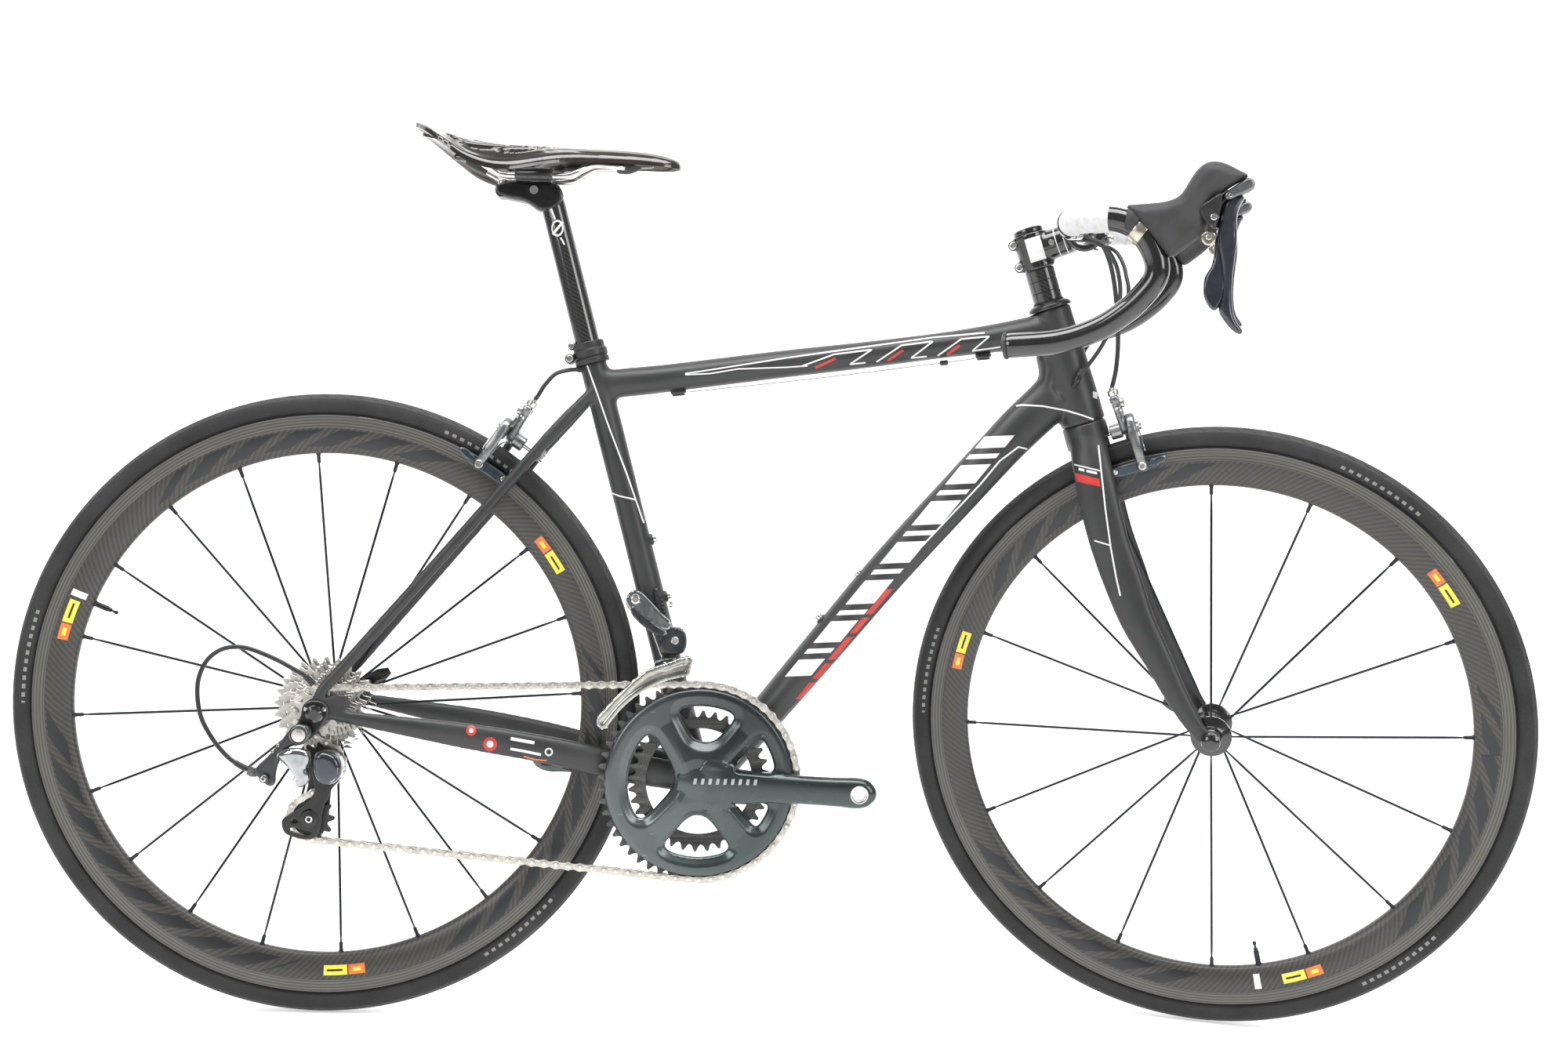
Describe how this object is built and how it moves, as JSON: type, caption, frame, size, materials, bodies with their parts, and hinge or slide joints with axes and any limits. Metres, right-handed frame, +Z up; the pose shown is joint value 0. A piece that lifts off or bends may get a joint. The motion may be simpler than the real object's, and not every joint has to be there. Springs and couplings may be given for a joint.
{
  "type": "road bicycle",
  "caption": "Road racing bicycle with drop bars, deep woven-carbon rims, open-mesh saddle shell, rim brakes and derailleur gears; steering, wheels, cranks, levers and gears move.",
  "frame": {"origin": "rear tyre's contact point with the ground, in the frame's mid plane", "axes": "+X forward along the wheelbase, +Y to the rider's left, +Z up; the bars and front wheel stand turned 18.5 degrees to the rider's right at rest"},
  "size_m": [1.622, 0.5052, 0.959],
  "materials": {
    "frame_carbon": "satin charcoal clear coat over carbon composite",
    "gloss_carbon": "glossy woven carbon",
    "black_alloy_gloss": "gloss black",
    "black_alloy_satin": "black anodised",
    "saddle_shell_gloss": "glossy dark moulded shell",
    "polished_steel": "polished",
    "hood_rubber": "matte rubber",
    "lever_grey": "dark grey metallic gloss",
    "caliper_grey": "grey anodised",
    "crank_teal_grey": "dark teal grey anodised",
    "rim_carbon": "woven carbon, clear coated",
    "tyre_rubber": "matte",
    "housing_black": "satin",
    "pulley_plastic": "satin"
  },
  "bodies": {
    "frame": {"head_tube": "frame_carbon", "top_tube": "frame_carbon", "down_tube": "frame_carbon", "seat_tube": "frame_carbon", "bb_shell": "frame_carbon", "chainstay_right": "frame_carbon", "chainstay_left": "frame_carbon", "seatstay_right": "frame_carbon", "seatstay_left": "frame_carbon", "derailleur_hanger": "black_alloy_satin", "seat_collar": "black_alloy_satin", "front_derailleur_body": "caliper_grey", "rear_axle": "black_alloy_satin", "rd_b_knuckle": "caliper_grey", "chain": "polished_steel", "rear_brake_housing": "housing_black", "rd_housing": "housing_black", "shift_housing_right": "housing_black", "shift_housing_left": "housing_black"},
    "seat_post": {"seatpost": "gloss_carbon", "saddle_rails": "polished_steel", "saddle_shell": "saddle_shell_gloss"},
    "steering": {"fork": "frame_carbon", "headset_spacers": "gloss_carbon", "stem": "black_alloy_gloss", "top_cap": "black_alloy_gloss", "handlebar": "black_alloy_gloss", "hood_right": "hood_rubber", "hood_left": "hood_rubber", "front_axle": "black_alloy_satin", "front_brake_housing": "housing_black"},
    "brake_pull_right": {"shift_unit_right": "lever_grey"},
    "lever_right": {"brake_lever_right": "lever_grey"},
    "paddle_right": {"shift_paddle_right": "lever_grey"},
    "brake_pull_left": {"shift_unit_left": "lever_grey"},
    "lever_left": {"brake_lever_left": "lever_grey"},
    "paddle_left": {"shift_paddle_left": "lever_grey"},
    "front_caliper_right": {"front_brake_arm_right": "caliper_grey"},
    "front_caliper_left": {"front_brake_arm_left": "caliper_grey"},
    "rear_caliper_right": {"rear_brake_arm_right": "caliper_grey"},
    "rear_caliper_left": {"rear_brake_arm_left": "caliper_grey"},
    "front_wheel": {"front_tyre": "tyre_rubber", "front_rim": "rim_carbon", "front_hub": "black_alloy_gloss"},
    "front_quick_release": {"front_qr_lever": "black_alloy_satin"},
    "rear_wheel": {"rear_tyre": "tyre_rubber", "rear_rim": "rim_carbon", "rear_hub": "black_alloy_gloss"},
    "rear_quick_release": {"rear_qr_lever": "black_alloy_satin"},
    "freehub_cassette": {"cassette": "polished_steel"},
    "crankset": {"crank_arm_right": "crank_teal_grey", "crank_arm_left": "crank_teal_grey", "chainring_big": "crank_teal_grey", "chainring_small": "black_alloy_satin"},
    "derailleur_link": {"rd_link": "caliper_grey"},
    "derailleur_knuckle": {"rd_p_knuckle": "caliper_grey"},
    "derailleur_cage": {"rd_cage": "black_alloy_satin"},
    "guide_wheel": {"guide_pulley": "pulley_plastic"},
    "tension_wheel": {"tension_pulley": "pulley_plastic"},
    "front_derailleur": {"fd_cage": "polished_steel"}
  },
  "joints": [
    {"name": "seat_height", "type": "slide", "parent": "frame", "child": "seat_post", "axis": [-0.2726, 0, 0.9621], "range_m": [-0.03, 0.04]},
    {"name": "steering_turn", "type": "hinge", "parent": "frame", "child": "steering", "pos_m": [0.79133, 0, 0.7293], "axis": [-0.3188, 0, 0.9478], "range_deg": [-41.5, 78.4], "deforming": ["shift_housing_right", "shift_housing_left"]},
    {"name": "brake_lever_right_pull", "type": "hinge", "parent": "steering", "child": "brake_pull_right", "pos_m": [0.87241, -0.26084, 0.85922], "axis": [0.3, 0.9486, 0.1009], "range_deg": [0, 22], "stiffness_Nm_per_rad": 1.2, "springref_deg": -14.32},
    {"name": "shift_lever_right_swing", "type": "hinge", "parent": "brake_pull_right", "child": "lever_right", "pos_m": [0.88476, -0.26572, 0.86837], "axis": [0.9314, -0.3141, 0.1837], "range_deg": [0, 12], "stiffness_Nm_per_rad": 0.8, "springref_deg": -14.32},
    {"name": "shift_paddle_right_swing", "type": "hinge", "parent": "lever_right", "child": "paddle_right", "pos_m": [0.88476, -0.26572, 0.86837], "axis": [0.9314, -0.3141, 0.1837], "range_deg": [0, 9], "stiffness_Nm_per_rad": 0.4, "springref_deg": -14.32},
    {"name": "brake_lever_left_pull", "type": "hinge", "parent": "steering", "child": "brake_pull_left", "pos_m": [0.99841, 0.13757, 0.9016], "axis": [0.3, 0.9486, 0.1009], "range_deg": [0, 22], "stiffness_Nm_per_rad": 1.2, "springref_deg": -14.32},
    {"name": "shift_lever_left_swing", "type": "hinge", "parent": "brake_pull_left", "child": "lever_left", "pos_m": [1.01076, 0.13269, 0.91074], "axis": [-0.9314, 0.3141, -0.1837], "range_deg": [0, 12], "stiffness_Nm_per_rad": 0.8, "springref_deg": -14.32},
    {"name": "shift_paddle_left_swing", "type": "hinge", "parent": "lever_left", "child": "paddle_left", "pos_m": [1.01076, 0.13269, 0.91074], "axis": [-0.9314, 0.3141, -0.1837], "range_deg": [0, 9], "stiffness_Nm_per_rad": 0.4, "springref_deg": -14.32},
    {"name": "front_brake_right_arm", "type": "hinge", "parent": "steering", "child": "front_caliper_right", "pos_m": [0.85228, -0.01203, 0.66117], "axis": [0.8991, -0.3165, 0.3024], "range_deg": [0, 4.2]},
    {"name": "front_brake_left_arm", "type": "hinge", "parent": "steering", "child": "front_caliper_left", "pos_m": [0.85228, -0.01203, 0.66117], "axis": [0.8991, -0.3165, 0.3024], "range_deg": [-4.2, 0]},
    {"name": "rear_brake_right_arm", "type": "hinge", "parent": "frame", "child": "rear_caliper_right", "pos_m": [0.1906, 0, 0.6285], "axis": [-0.8387, 0, 0.5446], "range_deg": [-4.2, 0]},
    {"name": "rear_brake_left_arm", "type": "hinge", "parent": "frame", "child": "rear_caliper_left", "pos_m": [0.1906, 0, 0.6285], "axis": [-0.8387, 0, 0.5446], "range_deg": [0, 4.2]},
    {"name": "front_wheel_spin", "type": "hinge", "parent": "steering", "child": "front_wheel", "pos_m": [0.96584, -0.01318, 0.33432], "axis": [0.3, 0.9486, 0.1009], "continuous": true},
    {"name": "rear_wheel_spin", "type": "hinge", "parent": "frame", "child": "rear_wheel", "pos_m": [0, 0, 0.335], "axis": [0, 1, 0], "continuous": true},
    {"name": "crank_spin", "type": "hinge", "parent": "frame", "child": "crankset", "pos_m": [0.40187, -0.047, 0.26804], "axis": [0, 1, 0], "continuous": true},
    {"name": "freehub_spin", "type": "hinge", "parent": "frame", "child": "freehub_cassette", "pos_m": [0, -0.04, 0.335], "axis": [0, 1, 0], "continuous": true},
    {"name": "derailleur_shift", "type": "hinge", "parent": "frame", "child": "derailleur_link", "pos_m": [-0.0275, -0.076, 0.29], "axis": [0.2575, 0.575, 0.7766], "range_deg": [0, 38], "stiffness_Nm_per_rad": 2, "springref_deg": -11.46, "deforming": ["chain"]},
    {"name": "derailleur_knuckle_parallel", "type": "hinge", "parent": "derailleur_link", "child": "derailleur_knuckle", "pos_m": [0.015, -0.084, 0.281], "axis": [0.2575, 0.575, 0.7766], "range_deg": [-38, 0]},
    {"name": "derailleur_cage_swing", "type": "hinge", "parent": "derailleur_knuckle", "child": "derailleur_cage", "pos_m": [0.016, -0.062, 0.279], "axis": [0, 1, 0], "range_deg": [-45, 8], "stiffness_Nm_per_rad": 2},
    {"name": "guide_pulley_spin", "type": "hinge", "parent": "derailleur_cage", "child": "guide_wheel", "pos_m": [0.0044, -0.0558, 0.2789], "axis": [0, 1, 0], "continuous": true},
    {"name": "tension_pulley_spin", "type": "hinge", "parent": "derailleur_cage", "child": "tension_wheel", "pos_m": [-0.0055, -0.0558, 0.2222], "axis": [0, 1, 0], "continuous": true},
    {"name": "front_derailleur_shift", "type": "hinge", "parent": "frame", "child": "front_derailleur", "pos_m": [0.345, -0.029, 0.42], "axis": [1, 0, 0], "range_deg": [0, 7.5], "stiffness_Nm_per_rad": 1.5, "springref_deg": -11.46},
    {"name": "rear_quick_release_open", "type": "hinge", "parent": "frame", "child": "rear_quick_release", "pos_m": [0, 0.081, 0.335], "axis": [-0.4879, 0, 0.8729], "range_deg": [0, 165]},
    {"name": "front_quick_release_open", "type": "hinge", "parent": "steering", "child": "front_quick_release", "pos_m": [0.98606, 0.05076, 0.34112], "axis": [-0.1755, 0.1588, -0.9716], "range_deg": [0, 165]}
  ],
  "couplings": [
    {"joint": "front_brake_right_arm", "follows": "brake_lever_left_pull", "ratio": 0.19072},
    {"joint": "front_brake_left_arm", "follows": "brake_lever_left_pull", "ratio": -0.19072},
    {"joint": "rear_brake_right_arm", "follows": "brake_lever_right_pull", "ratio": -0.19072},
    {"joint": "rear_brake_left_arm", "follows": "brake_lever_right_pull", "ratio": 0.19072},
    {"joint": "freehub_spin", "follows": "crank_spin", "ratio": 4.3333},
    {"joint": "guide_pulley_spin", "follows": "crank_spin", "ratio": -4.7273},
    {"joint": "tension_pulley_spin", "follows": "crank_spin", "ratio": 4.7273},
    {"joint": "derailleur_knuckle_parallel", "follows": "derailleur_shift", "ratio": -1}
  ]
}
